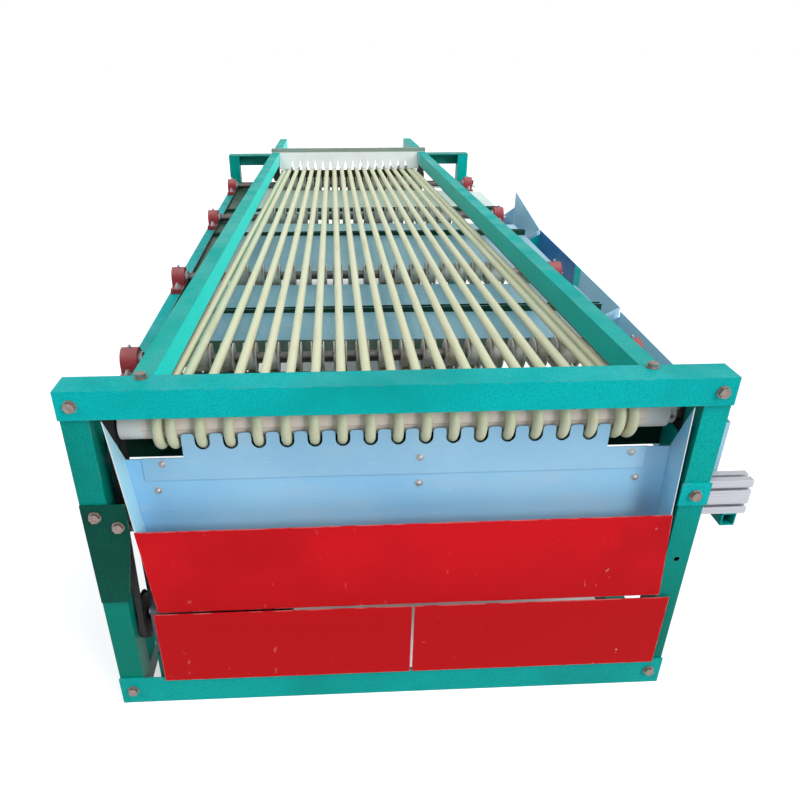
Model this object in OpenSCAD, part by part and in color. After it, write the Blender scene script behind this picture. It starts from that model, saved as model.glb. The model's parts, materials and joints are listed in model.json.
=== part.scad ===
// Rope fruit grading machine: round ropes spread apart from the feed end to the
// front, fruit falls between them on to chutes under the ropes and rolls out to the side.
// X runs to the right, Y from the front to the feed end, Z up.

/* [Frame] */
// Width over the legs
frame_w = 1200; // [1160:10:1300]
// Length over the legs
frame_l = 2860; // [2800:10:3000]
// Height of the top of the frame
frame_h = 754; // [740:1:800]
// Width of a leg, seen from the front
leg_w = 50; // [44:1:56]
// Depth of a leg, front to back
leg_d = 60; // [56:1:62]
// Wall of the frame tubes
tube_wall = 3; // [2:0.5:4]
// Height of the front flange of the top beam
beam_h = 55; // [45:1:58]
// Depth of the flat flange of the beams
beam_d = 65; // [55:1:70]
// Thickness of the beam flanges
beam_t = 5; // [4:0.5:6]
// Height of the front flange of the bottom beams
bottom_beam_h = 70; // [55:1:90]
// How far the beams stick out past the legs
beam_over = 2; // [1:0.5:5]
// Height of the rails along the floor
bottom_rail_h = 50; // [40:1:60]
// Height of the long side beams
side_beam_h = 60; // [50:1:64]
// Height of the cross tube behind the front chute
mid_beam_h = 50; // [44:1:54]
// Depth of that cross tube
mid_beam_d = 50; // [44:1:54]

/* [Deck] */
// Width of a guard rail
rail_w = 40; // [34:1:44]
// From the inner side of a leg to the middle of a guard rail, at the front
rail_front_inset_w = 89; // [80:1:95]
// The same at the rear end of the rail
rail_rear_inset_w = 195; // [185:1:200]
// How far the guard rails reach past the rear legs
rail_out_l = 590; // [300:10:650]
// Diameter of a sorting rope
rope_d = 20; // [18:0.5:21]
// Distance between ropes at the front roller, as near as the width allows
rope_pitch_w = 52.8; // [48:0.1:60]
// From the middle of a guard rail to the outermost rope, at the front roller
edge_front_inset_w = 11.6; // [10:0.1:14]
// The same at the rear roller
edge_rear_inset_w = 50.2; // [44:0.1:51]
// Distance of the extra edge rope at the front
edge_gap_front_w = 26; // [24:0.5:27]
// Distance of the extra edge rope at the rear
edge_gap_rear_w = 22; // [21.5:0.5:23]
// Diameter of the rollers and of the spool grooves
roller_d = 56; // [50:1:58]
// Diameter of the shafts
shaft_d = 25; // [20:1:28]
// Depth of the shafts below the top of the frame
shaft_drop_h = 114; // [112:1:118]
// Front roller axis behind the front of the legs
front_roller_y = 93; // [92:1:96]
// Rear roller axis behind the rear of the legs
rear_roller_out_l = 40; // [38:1:60]
// Depth of the spool flanges beside the rope
flange_h = 7; // [6:0.5:9]
// Thickness of a spool flange
flange_t = 3; // [2.5:0.5:4.5]
// Side play of a rope in its groove
groove_play_w = 4; // [3:0.5:5.5]

/* [Bearings] */
// Height of the shaft above the foot of a bearing
block_h = 34; // [32:1:36]
// Length of a bearing foot along the beam
block_l = 127; // [110:1:140]
// Width of a bearing
block_w = 38; // [30:1:42]
// Thickness of a bearing foot
block_base_t = 15; // [12:1:18]
// Diameter of the round housing
block_dome_d = 60; // [52:1:62]
// Length of the foot of a front bearing
block_short_l = 64; // [62:1:64]

/* [Front chute] */
// Thickness of the chute sheets
sheet_t = 2; // [1.5:0.5:2.5]
// Height of the floor of the front chute
floor_z = 262; // [255:1:280]
// Height of the red apron above that floor
apron_h = 193; // [160:1:208]
// Depth of the comb plate below the roller axis
comb_drop_h = 104; // [95:1:115]
// Depth of the rope slots below the roller axis
slot_drop_h = 38; // [37.5:0.5:42]
// Width of a rope slot
slot_w = 28; // [26:0.5:30]
// Height of the fingers above the slot bottoms
finger_h = 34; // [26:1:40]
// Bottom of the wide end notches below the roller axis
notch_drop_h = 55; // [50:1:60]
// From the left leg to the left wall, at the top of the front chute
wall_left_top_w = 21; // [20:1:24]
// The same at the floor
wall_left_low_w = 59; // [50:1:65]
// From the right leg to the right wall, at the top of the front chute
wall_right_top_w = 17; // [10:1:20]
// The same at the floor
wall_right_low_w = 4; // [2:1:10]
// Upright seam between the lower red panels
panel_seam_x = 34; // [0:1:60]
// Width of that seam
panel_seam_w = 5; // [3:1:8]
// From the left leg to the lower red panels
panel_left_w = 49; // [35:1:60]
// Overlap of the lower red panels on the right leg
panel_right_w = 27; // [20:1:40]

/* [Side outlets] */
// Room between a chute and the shafts and ropes over and under it
chute_gap_h = 1; // [0.6:0.1:1.4]
// Height of the chute walls above the left side of the floor
chute_lip_h = 8; // [5:0.5:12]
// Height of a trough at the frame, above the bottom of the side beams
trough_side_h = 24; // [15:1:30]
// Fall of a trough floor
trough_fall_h = 62; // [50:1:70]
// How far the side troughs reach past the legs
trough_w = 90; // [80:1:100]
// Wall top of the front side trough, above the bottom of the side beams
trough_wall_h = 48; // [40:1:56]
// Wall top of the middle side trough
trough_wall_mid_h = 72; // [60:1:78]
// Wall top of the rear side trough
trough_wall_rear_h = 86; // [80:1:92]
// Extra height of the rear wall end of the last side trough
trough_fin_h = 62; // [0:1:70]
// Length of the cross profile past the right leg
profile_out_l = 130; // [118:1:150]
// Width of the cross profile, front to back
profile_d = 40; // [36:1:45]
// Height of the cross profile
profile_h = 80; // [72:1:80]
// Opening of a profile groove
groove_open_w = 8; // [6:0.5:9]
// Size of the square outrigger tube
outrigger_w = 30; // [26:1:34]

/* [Feed end] */
// Slope of the feed plate
feed_angle = 35; // [33:1:37]
// Depth of the flat strip on the feed plate
strip_d = 32; // [24:1:40]
// Height of the flat strip
strip_h = 16; // [10:1:20]

/* [Drive] */
// Groove radius of the pulley on the front roller
drive_pulley_r = 30; // [28:1:31]
// Groove radius of the motor pulley
motor_pulley_r = 44; // [40:1:48]
// Width of the drive belt
belt_w = 12; // [10:0.5:12.5]
// Thickness of the drive belt
belt_t = 8; // [6:0.5:9]
// Thickness of a pulley cheek
cheek_t = 2; // [1.5:0.5:2.5]
// Room between the gearbox and the floor of the front chute
motor_gap_h = 13; // [8:1:20]
// Motor axis behind the front of the legs
motor_y = 72; // [70:1:74]
// Size of the gearbox along its axis
gearbox_l = 100; // [80:1:120]
// Height and depth of the gearbox
gearbox_w = 118; // [100:1:124]
// Diameter of the motor
motor_d = 108; // [90:1:112]
// Length of the motor
motor_l = 190; // [150:1:220]
// Cooling ribs of the motor
motor_ribs = 9; // [4:1:12]

/* [Fasteners] */
// Width of a bolt head over its flats
bolt_af = 18; // [16:1:19]
// Height of a bolt head
bolt_head_h = 7.5; // [6:0.5:8]
// Diameter of a washer
washer_d = 24; // [22:1:26]
// Thickness of a washer
washer_t = 2; // [1.5:0.5:2.5]
// Thickness of the plates bolted to the legs
plate_t = 4; // [3:0.5:5]

/* [Hidden] */
$fn = 48;
// gap left where one piece only lies against another
seat = 0.3;
// room between a rope or belt and what it runs on
run_clear = 0.4;
// radial room of a shaft in its bearing
shaft_clear = 0.05;
// room round the spools in the opening of a chute
spool_room = 8;
// overrun of cutting bodies
over = 1;
// places of the guide shafts along the ropes
guide_shares = [0.1144, 0.35, 0.6466, 0.9042];
// front and rear end of each grade chute, from behind the belt to the rear of the frame
chute_start_shares = [0, 0.2416, 0.5665, 0.7257];
chute_end_shares = [0.2357, 0.5607, 0.7184, 0.9633];
// sizes taken as shares of others
leg_hole_share = 0.7;
leg_hole_d_share = 0.67;
low_bolt_share = 0.54;
hanger_share = 0.75;
collar_share = 0.6;
chute_top_share = 0.33;
comb_end_share = 0.75;
profile_bore_share = 0.8;
outrigger_share = 0.8;
feed_notch_share = 0.55;
groove_quarters = [1, 3];
// straight steps of a belt wrap
belt_steps = 30;
full_turn = 360;

half_w = frame_w / 2;
leg_in = half_w - leg_w;
leg_mid = half_w - leg_w / 2;
beam_low_z = frame_h - beam_h;
shaft_z = frame_h - shaft_drop_h;
side_top_z = shaft_z - block_h;
side_low_z = side_top_z - side_beam_h;
mid_low_z = side_low_z - mid_beam_h;
profile_low_z = mid_low_z - profile_h;
rail_front_x = leg_in - rail_front_inset_w;
rail_rear_x = leg_in - rail_rear_inset_w;
rail_start_y = beam_d - beam_t;
rail_end_y = frame_l + rail_out_l;
profile_end_x = half_w + profile_out_l;
front_y = -beam_t - washer_t - bolt_head_h;
// the origin is the bottom centre of the whole machine
shift_x = -(profile_end_x - half_w - beam_over) / 2;
shift_y = -(rail_end_y + front_y) / 2;

rope_r = rope_d / 2;
roller_r = roller_d / 2;
shaft_r = shaft_d / 2;
loop_r = roller_r + run_clear + rope_r;
rear_roller_y = frame_l + rear_roller_out_l;
rope_span = rear_roller_y - front_roller_y;
edge_front_x = rail_x(front_roller_y) - edge_front_inset_w;
edge_rear_x = rail_x(rear_roller_y) - edge_rear_inset_w;
// ropes on each side of the middle one
rope_pairs = round((edge_front_x - edge_gap_front_w) / rope_pitch_w);
rope_pitch_front = (edge_front_x - edge_gap_front_w) / rope_pairs;
rope_pitch_rear = (edge_rear_x - edge_gap_rear_w) / rope_pairs;
edge_sides = [-1, 1];
trough_wall_heights = [trough_wall_h, trough_wall_mid_h, trough_wall_rear_h];
guide_count = len(guide_shares);

function mix(a, b, share) = a + (b - a) * share;
function rope_share(y) = (y - front_roller_y) / rope_span;
function rope_pitch(y) = mix(rope_pitch_front, rope_pitch_rear, rope_share(y));
function edge_gap(y) = mix(edge_gap_front_w, edge_gap_rear_w, rope_share(y));
function edge_rope_x(y) = mix(edge_front_x, edge_rear_x, rope_share(y));
function guide_y(i) = front_roller_y + rope_span * guide_shares[i];
function rail_x(y) = mix(rail_front_x, rail_rear_x, (y - rail_start_y) / (rail_end_y - rail_start_y));

// Moves the machine from its own front corner frame to the shared origin
module placed() {
    translate([shift_x, shift_y, 0]) children();
}

// Block from its lowest corner to its highest one
module span(low, high) {
    translate(low) cube(high - low);
}

// Outline in X and Z, drawn out along Y
module plate_xz(y_0, y_1) {
    translate([0, y_1, 0]) rotate([90, 0, 0]) linear_extrude(y_1 - y_0) children();
}

// Outline in Y and Z, drawn out along X
module plate_yz(x_0, x_1) {
    translate([x_0, 0, 0]) rotate([90, 0, 90]) linear_extrude(x_1 - x_0) children();
}

// Round bar along X
module bar_x(r, x_0, x_1) {
    translate([x_0, 0, 0]) rotate([0, 90, 0]) cylinder(r = r, h = x_1 - x_0);
}

// Square tube between two corners, open at both ends of the named axis
module tube(low, high, axis) {
    wall = [for (k = [0:2]) k == axis ? -over : tube_wall];
    difference() {
        span(low, high);
        span(low + wall, high - wall);
    }
}

// Mirrors to the right side when the side is 1
module on_side(side) {
    mirror([side > 0 ? 1 : 0, 0, 0]) children();
}

// Legs: upright tubes standing on the flat flange of the bottom beams
module leg(y_0) {
    tube([-half_w, y_0, beam_t], [-leg_in, y_0 + leg_d, frame_h - beam_t], 2);
}

module front_leg(side) {
    hole_d = bolt_af * leg_hole_d_share;
    hole_z = mid_low_z * leg_hole_share;
    color("teal") placed() difference() {
        on_side(side) leg(0);
        if (side > 0)
            translate([leg_mid, -over, hole_z]) rotate([-90, 0, 0]) cylinder(d = hole_d, h = leg_d / 2);
    }
}

module rear_leg(side) {
    color("teal") placed() on_side(side) leg(frame_l - leg_d);
}

// Angle beams: an upright flange on the face of the legs and a flat one over or under them
module angle_beam(x_0, x_1, z_up, z_flat) {
    span([x_0, -beam_t, z_up[0]], [x_1, 0, z_up[1]]);
    span([x_0, -beam_t, z_flat], [x_1, beam_d - beam_t, z_flat + beam_t]);
}

module front_top_beam() {
    reach = half_w + beam_over;
    color("teal") placed() angle_beam(-reach, reach, [beam_low_z, frame_h], frame_h - beam_t);
}

// Rear top beam: two short angles from the rear legs to the guard rails
module rear_stubs() {
    inner = rail_x(frame_l + beam_t - beam_d) + rail_w / 2 + seat;
    color("teal") placed() for (side = edge_sides)
        on_side(side) translate([0, frame_l, 0]) mirror([0, 1, 0])
            angle_beam(-half_w, -inner, [beam_low_z, frame_h], frame_h - beam_t);
}

module front_bottom_beam() {
    reach = half_w + beam_over;
    color("teal") placed() angle_beam(-reach, reach, [0, bottom_beam_h], 0);
}

module rear_bottom_beam() {
    reach = half_w + beam_over;
    color("teal") placed() translate([0, frame_l, 0]) mirror([0, 1, 0])
        angle_beam(-reach, reach, [0, bottom_beam_h], 0);
}

module bottom_rail(side) {
    color("teal") placed() on_side(side)
        tube([-half_w, leg_d, beam_t], [-leg_in, frame_l - leg_d, beam_t + bottom_rail_h], 1);
}

// Side beams carry the bearings of every cross shaft
module side_beam(side) {
    color("teal") placed() on_side(side)
        tube([-half_w, leg_d, side_low_z], [-leg_in, frame_l - leg_d, side_top_z], 1);
}

// Cross tube behind the front chute, between the cross profile and the side beams
module mid_beam() {
    color("teal") placed()
        tube([-half_w, leg_d, mid_low_z], [half_w, leg_d + mid_beam_d, side_low_z], 0);
}

// Plate over the belt, from the left leg to the front chute
module belt_guard() {
    top_z = mid_low_z + mid_beam_h / 2;
    low_z = floor_z + mid_beam_h / 2;
    edge_top_x = chute_left_x(top_z) - sheet_t;
    edge_low_x = chute_left_x(low_z) - mid_beam_d;
    color("darkgreen") placed() plate_xz(-plate_t, 0)
        polygon([[-half_w, low_z], [-half_w, top_z], [edge_top_x, top_z],
                 [edge_top_x, mid_low_z - bolt_af * 2], [edge_low_x, low_z]]);
}

// Plate on the joint of the right leg
leg_plate_z = side_low_z - leg_d - plate_t;

module leg_plate_right() {
    color("teal") placed() plate_xz(-plate_t, 0)
        translate([leg_in - plate_t, leg_plate_z])
            square([leg_w + plate_t * 2, mid_beam_h]);
}

// Guard rails: slanting tubes with a closed front end and a tongue under the top beam
module rail_outline(inset) {
    front_in = rail_front_x - rail_w / 2 + inset;
    front_out = rail_front_x + rail_w / 2 - inset;
    rear_in = rail_rear_x - rail_w / 2 + inset;
    rear_out = rail_rear_x + rail_w / 2 - inset;
    polygon([[-front_out, rail_start_y], [-front_in, rail_start_y],
             [-rear_in, rail_end_y], [-rear_out, rail_end_y]]);
}

module guard_rail(side) {
    tongue_top = frame_h - beam_t;
    color("turquoise") placed() on_side(side) {
        difference() {
            translate([0, 0, beam_low_z]) linear_extrude(beam_h) rail_outline(0);
            translate([0, 0, beam_low_z + tube_wall]) linear_extrude(beam_h - tube_wall * 2)
                intersection() {
                    rail_outline(tube_wall);
                    translate([-frame_w, rail_start_y + tube_wall]) square([frame_w, rail_end_y]);
                }
            span([-rail_rear_x - rail_w / 2 + tube_wall, rail_end_y - tube_wall, beam_low_z + tube_wall],
                 [-rail_rear_x + rail_w / 2 - tube_wall, rail_end_y + over, frame_h - tube_wall]);
        }
        span([-rail_front_x - rail_w / 4, beam_t, tongue_top - beam_t],
             [-rail_front_x + rail_w / 4, rail_start_y + tube_wall, tongue_top]);
    }
}

// Rollers: a sleeve on a shaft, its ends turned to the shaft
module roller_sleeve(half_l, y) {
    color("ivory") placed() translate([0, y, shaft_z]) difference() {
        bar_x(roller_r, -half_l, half_l);
        bar_x(shaft_r, -half_l - over, half_l + over);
    }
}

module cross_shaft(half_l, y) {
    color("silver") placed() translate([0, y, shaft_z]) bar_x(shaft_r, -half_l, half_l);
}

roller_half_l = leg_in - shaft_d;
long_shaft_half_l = half_w - beam_t;
belt_mid_x = -(leg_in - belt_w);
rear_rail_x = rail_x(rear_roller_y);
hanger_w = rail_w * hanger_share;
rear_sleeve_half_l = rear_rail_x - rail_w / 2 - tube_wall;
rear_shaft_half_l = rear_rail_x + hanger_w / 2 + beam_t;

// Collar with a set screw hole on the right end of the front roller
module roller_collar() {
    collar_r = shaft_r + block_base_t * collar_share;
    inner = roller_half_l + seat;
    color("gainsboro") placed() translate([0, front_roller_y, shaft_z]) difference() {
        bar_x(collar_r, inner, inner + block_base_t);
        bar_x(shaft_r, inner - over, inner + block_base_t + over);
        translate([inner + block_base_t / 2, 0, 0])
            rotate([90, 0, 0]) cylinder(d = groove_open_w, h = collar_r + over);
    }
}

// Bearing on a flat foot, drawn about the shaft axis
module bearing(foot_l, foot_holes) {
    hole_y = (foot_l + block_dome_d) / 4;
    hole_d = bolt_af / 2;
    difference() {
        union() {
            span([-block_w / 2, -foot_l / 2, -block_h],
                 [block_w / 2, foot_l / 2, block_base_t - block_h]);
            span([-block_w / 2, -block_dome_d / 2, -block_h], [block_w / 2, block_dome_d / 2, 0]);
            bar_x(block_dome_d / 2, -block_w / 2, block_w / 2);
        }
        bar_x(shaft_r + shaft_clear, -block_w, block_w);
        if (foot_holes)
            for (side = edge_sides)
                translate([0, side * hole_y, -block_h - over])
                    cylinder(d = hole_d, h = block_base_t + over * 2);
    }
}

module front_bearings() {
    color("dimgray") placed() for (side = edge_sides)
        translate([side * leg_mid, front_roller_y, shaft_z]) bearing(block_short_l, false);
}

module bearing_blocks(side) {
    color("firebrick") placed() for (i = [0:guide_count - 1])
        translate([side * leg_mid, guide_y(i), shaft_z]) bearing(block_l, true);
}

// Hangers of the rear roller, fixed under the guard rails
module rear_hangers() {
    drop = beam_low_z - shaft_z;
    color("dimgray") placed() for (side = edge_sides)
        translate([side * rear_rail_x, rear_roller_y, shaft_z]) difference() {
            union() {
                span([-hanger_w / 2, -shaft_d, 0], [hanger_w / 2, shaft_d, drop]);
                bar_x(shaft_d, -hanger_w / 2, hanger_w / 2);
            }
            bar_x(shaft_r + shaft_clear, -hanger_w, hanger_w);
        }
}

// Spool: a grooved wheel on a guide shaft, drawn about the shaft axis
module spool(groove_w) {
    half_groove = groove_w / 2;
    half_l = half_groove + flange_t;
    flange_r = roller_r + flange_h;
    rotate([0, 90, 0]) rotate_extrude()
        polygon([[shaft_r, -half_l], [flange_r, -half_l], [flange_r, -half_groove],
                 [roller_r, -half_groove], [roller_r, half_groove],
                 [flange_r, half_groove], [flange_r, half_l], [shaft_r, half_l]]);
}

module guide_spools(i) {
    y = guide_y(i);
    groove_w = rope_d + groove_play_w;
    edge_x = (rope_pairs * rope_pitch(y) + edge_rope_x(y)) / 2;
    color("whitesmoke") placed() translate([0, y, shaft_z]) {
        for (k = [1 - rope_pairs:rope_pairs - 1]) translate([k * rope_pitch(y), 0, 0]) spool(groove_w);
        for (side = edge_sides) translate([side * edge_x, 0, 0]) spool(groove_w + edge_gap(y));
    }
}

// Ropes: each is a closed loop round the front and the rear roller
module rope_end() {
    rotate([0, 90, 0]) rotate_extrude(angle = 180) translate([loop_r, 0]) circle(d = rope_d);
}

module rope(x_front, x_rear) {
    yaw = atan2(x_front - x_rear, rope_span);
    run_l = norm([x_front - x_rear, rope_span]);
    translate([x_front, front_roller_y, shaft_z]) rotate([0, 0, yaw]) {
        for (side = edge_sides)
            translate([0, 0, side * loop_r]) rotate([-90, 0, 0]) cylinder(d = rope_d, h = run_l);
        rotate([180, 0, 0]) rope_end();
        translate([0, run_l, 0]) rope_end();
    }
}

module sorting_ropes() {
    color("wheat") placed() {
        for (k = [-rope_pairs:rope_pairs]) rope(k * rope_pitch_front, k * rope_pitch_rear);
        for (side = edge_sides) rope(side * edge_front_x, side * edge_rear_x);
    }
}

// Drive: a belt from the motor pulley to the pulley on the front roller
module grooved_pulley(groove_r, bore_r) {
    half_groove = belt_w / 2 + run_clear;
    half_l = half_groove + cheek_t;
    rim_r = groove_r + belt_t;
    rotate([0, 90, 0]) rotate_extrude()
        polygon([[bore_r, -half_l], [rim_r, -half_l], [rim_r, -half_groove],
                 [groove_r, -half_groove], [groove_r, half_groove],
                 [rim_r, half_groove], [rim_r, half_l], [bore_r, half_l]]);
}

module drive_pulley() {
    color("dimgray") placed()
        translate([belt_mid_x, front_roller_y, shaft_z]) grooved_pulley(drive_pulley_r, shaft_r);
}

gearbox_x = belt_mid_x + shaft_d;
motor_z = floor_z - motor_gap_h - gearbox_w / 2;

// Motor pulley, turned in one with its stub shaft
module motor_pulley() {
    color("black") placed() translate([belt_mid_x, motor_y, motor_z]) {
        grooved_pulley(motor_pulley_r, 0);
        bar_x(shaft_r, 0, gearbox_x - belt_mid_x + gearbox_l / 2);
    }
}

// Outline of a belt that wraps both pulleys, at the given radii
function arc(centre, r, from, to) = [
    for (i = [0:belt_steps])
        centre + r * [cos(mix(from, to, i / belt_steps)), sin(mix(from, to, i / belt_steps))]
];

module belt_outline(r_low, r_high) {
    low = [motor_y, motor_z];
    high = [front_roller_y, shaft_z];
    turn = atan2(high[1] - low[1], high[0] - low[0]);
    lean = acos((r_low - r_high) / norm(high - low));
    polygon(concat(arc(low, r_low, turn + lean, turn + full_turn - lean),
                   arc(high, r_high, turn - lean, turn + lean)));
}

module drive_belt() {
    low_r = motor_pulley_r + run_clear;
    high_r = drive_pulley_r + run_clear;
    color("black") placed() plate_yz(belt_mid_x - belt_w / 2, belt_mid_x + belt_w / 2) difference() {
        belt_outline(low_r + belt_t, high_r + belt_t);
        belt_outline(low_r, high_r);
    }
}

module gearmotor() {
    motor_x = gearbox_x + gearbox_l;
    motor_r = motor_d / 2;
    rib_step = motor_l / (motor_ribs + 1);
    rib_t = rib_step / 3;
    half = gearbox_w / 2;
    color("slategray") placed() translate([0, motor_y, motor_z]) difference() {
        union() {
            span([gearbox_x, -half, -half], [motor_x, half, half]);
            bar_x(motor_r - rib_t, motor_x - over, motor_x + motor_l);
            for (i = [1:motor_ribs])
                translate([rib_step * i, 0, 0]) bar_x(motor_r, motor_x, motor_x + rib_t);
        }
        bar_x(shaft_r + shaft_clear, gearbox_x - over, gearbox_x + gearbox_l / 2 + over);
    }
}

// Stand of the gearmotor on the flat flange of the front bottom beam
module motor_stand() {
    top_z = motor_z - gearbox_w / 2;
    foot_y = beam_d - beam_t;
    rear_y = motor_y + gearbox_w / 2;
    color("teal") placed() {
        span([gearbox_x, beam_t, top_z - beam_t], [gearbox_x + gearbox_l, rear_y, top_z]);
        for (x = [gearbox_x, gearbox_x + gearbox_l - beam_t])
            span([x, beam_t, beam_t], [x + beam_t, foot_y, top_z]);
    }
}

// Front chute: comb, back panel, leaning walls, floor and red panels
panel_front_y = leg_d - sheet_t;
apron_top_z = floor_z + apron_h;
comb_low_z = shaft_z - comb_drop_h;
slot_low_z = shaft_z - slot_drop_h;
notch_z = shaft_z - notch_drop_h;
chute_top_z = beam_low_z - block_base_t * chute_top_share;
wall_left_top_x = wall_left_top_w - leg_in;
wall_left_low_x = wall_left_low_w - leg_in;
wall_right_top_x = leg_in - wall_right_top_w;
wall_right_low_x = leg_in - wall_right_low_w;

function wall_share(z) = (z - floor_z) / (chute_top_z - floor_z);
function chute_left_x(z) = mix(wall_left_low_x, wall_left_top_x, wall_share(z));
function chute_right_x(z) = mix(wall_right_low_x, wall_right_top_x, wall_share(z));

module comb_plate() {
    field_half = rope_pairs * rope_pitch_front - slot_w / 2;
    finger_top_z = slot_low_z + finger_h;
    low_half = edge_front_x + rope_pitch_front * comb_end_share;
    color("steelblue") placed() plate_xz(panel_front_y - sheet_t, panel_front_y) difference() {
        union() {
            translate([-low_half, comb_low_z]) square([low_half * 2, notch_z - comb_low_z]);
            translate([-field_half, comb_low_z]) square([field_half * 2, finger_top_z - comb_low_z]);
        }
        for (k = [1 - rope_pairs:rope_pairs - 1])
            translate([k * rope_pitch_front, slot_low_z + slot_w / 2]) {
                circle(d = slot_w);
                translate([-slot_w / 2, 0]) square([slot_w, finger_h]);
            }
    }
}

module chute_back_panel() {
    top_z = notch_z - sheet_t;
    inset = sheet_t / 2 + seat;
    left_low = chute_left_x(floor_z) + inset;
    left_top = chute_left_x(top_z) + inset;
    right_low = chute_right_x(floor_z) - inset;
    right_top = chute_right_x(top_z) - inset;
    color("steelblue") placed() plate_xz(panel_front_y, leg_d)
        polygon([[left_low, floor_z], [left_top, top_z], [right_top, top_z], [right_low, floor_z]]);
}

module chute_wall(low_x, top_x) {
    half = sheet_t / 2;
    color("steelblue") placed() plate_xz(0, leg_d)
        polygon([[low_x - half, floor_z - sheet_t], [low_x + half, floor_z - sheet_t],
                 [top_x + half, chute_top_z], [top_x - half, chute_top_z]]);
}

module chute_floor() {
    inset = sheet_t / 2 + seat;
    top_z = floor_z - seat;
    color("steelblue") placed()
        span([wall_left_low_x + inset, 0, top_z - sheet_t], [wall_right_low_x - inset, leg_d, top_z]);
}

module upper_apron() {
    low_z = floor_z - sheet_t * 4;
    left_top = chute_left_x(apron_top_z) - sheet_t;
    left_low = chute_left_x(low_z) - sheet_t;
    right_top = chute_right_x(apron_top_z) + sheet_t;
    right_low = chute_right_x(low_z) + sheet_t * 5;
    color("red") placed() plate_xz(-seat - sheet_t, -seat)
        polygon([[left_low, low_z], [left_top, apron_top_z], [right_top, apron_top_z + sheet_t * 2],
                 [right_low, low_z + sheet_t]]);
}

panel_left_x = panel_left_w - leg_in;
panel_right_x = leg_in + panel_right_w;
seam_left_x = panel_seam_x - panel_seam_w / 2;
seam_right_x = panel_seam_x + panel_seam_w / 2;

module lower_panel(x_0, x_1) {
    back_y = -beam_t - seat;
    top_z = floor_z - sheet_t * 5;
    color("red") placed() span([x_0, back_y - sheet_t, bottom_beam_h - beam_t], [x_1, back_y, top_z]);
}

// Grade chutes: trays between the upper and the lower run of the ropes, with a slight fall to the
// right, where they are open over the side beam; each is cut out round one row of spools
chute_left_edge = -leg_in + seat;
chute_right_edge = half_w + outrigger_w;
chute_left_z = shaft_z - shaft_r - chute_gap_h;
chute_right_z = shaft_z - roller_r - run_clear + chute_gap_h + sheet_t;
chute_wall_top_z = chute_left_z + chute_lip_h;
chute_start_y = front_roller_y + max(drive_pulley_r + run_clear + belt_t, block_short_l / 2) + sheet_t;

function chute_y(share) = mix(chute_start_y, frame_l, share);

module chute_opening(y) {
    spool_l = roller_r + flange_h + spool_room;
    block_half = block_l / 2 + sheet_t;
    shaft_half = shaft_r + sheet_t;
    low_z = chute_right_z - sheet_t - over;
    high_z = chute_wall_top_z + over;
    right_x = chute_right_edge + over;
    translate([0, y, 0]) {
        span([-edge_rope_x(y) - rope_d - spool_room, -spool_l, low_z], [right_x, spool_l, high_z]);
        span([leg_in - sheet_t, -block_half, low_z], [right_x, block_half, high_z]);
        span([chute_left_edge - over, -shaft_half, chute_left_z + seat],
             [-leg_in / 2, shaft_half, high_z]);
    }
}

// Skirt on the front wall of the first chute, with a gap for the lower run of the ropes
module chute_skirt(y) {
    rope_half = edge_front_x + rope_d;
    rope_low_z = shaft_z - loop_r - rope_r - chute_gap_h;
    skirt_h = chute_left_z - side_low_z;
    plate_xz(y, y + sheet_t)
        difference() {
            translate([chute_left_edge, side_low_z]) square([-chute_left_edge * 2, skirt_h]);
            translate([-rope_half, rope_low_z]) square([rope_half * 2, skirt_h]);
        }
}

module grade_chute(i) {
    y_0 = chute_y(chute_start_shares[i]);
    y_1 = chute_y(chute_end_shares[i]);
    lip_x = chute_left_edge + sheet_t;
    low_right_z = chute_right_z - sheet_t;
    color("lightsteelblue") placed() difference() {
        union() {
            plate_xz(y_0, y_1)
                polygon([[chute_left_edge, chute_left_z - sheet_t], [chute_left_edge, chute_wall_top_z],
                         [lip_x, chute_wall_top_z], [lip_x, chute_left_z],
                         [chute_right_edge, chute_right_z], [chute_right_edge, low_right_z]]);
            for (y = [y_0, y_1 - sheet_t])
                plate_xz(y, y + sheet_t)
                    polygon([[chute_left_edge, chute_left_z - sheet_t],
                             [chute_left_edge, chute_wall_top_z],
                             [chute_right_edge, chute_wall_top_z], [chute_right_edge, low_right_z]]);
            if (i == 0) chute_skirt(y_0);
        }
        chute_opening(guide_y(i));
    }
}

// Side troughs: open boxes outside the right legs that catch the fruit of each chute
module side_trough(i) {
    y_0 = chute_y(chute_start_shares[i]) - sheet_t - seat;
    y_1 = chute_y(chute_end_shares[i]) + sheet_t + seat;
    last = i == len(trough_wall_heights) - 1;
    wall_low_z = side_low_z + trough_wall_heights[i];
    wall_high_z = wall_low_z + (last ? trough_fin_h : block_base_t);
    inner_x = half_w + seat;
    outer_x = half_w + trough_w;
    floor_high_z = profile_low_z + trough_fall_h;
    color("steelblue") placed() {
        plate_xz(y_0, y_1)
            polygon([[inner_x, floor_high_z - sheet_t], [inner_x, floor_high_z],
                     [outer_x, profile_low_z + sheet_t], [outer_x, profile_low_z],
                     [outer_x - sheet_t * 2, profile_low_z]]);
        plate_yz(outer_x - sheet_t, outer_x)
            polygon([[y_0, profile_low_z], [y_0, wall_low_z], [y_1, wall_high_z], [y_1, profile_low_z]]);
        for (y = [y_0, y_1 - sheet_t])
            plate_xz(y, y + sheet_t)
                polygon([[inner_x, floor_high_z - sheet_t], [inner_x, side_low_z + trough_side_h],
                         [outer_x, wall_low_z], [outer_x, profile_low_z]]);
    }
}

// Aluminium cross profile with grooves on every side
module profile_groove() {
    head_w = groove_open_w * 2;
    neck = groove_open_w / 2;
    translate([-groove_open_w / 2, -over]) square([groove_open_w, neck + over * 2]);
    translate([-head_w / 2, neck]) square([head_w, neck]);
}

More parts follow.
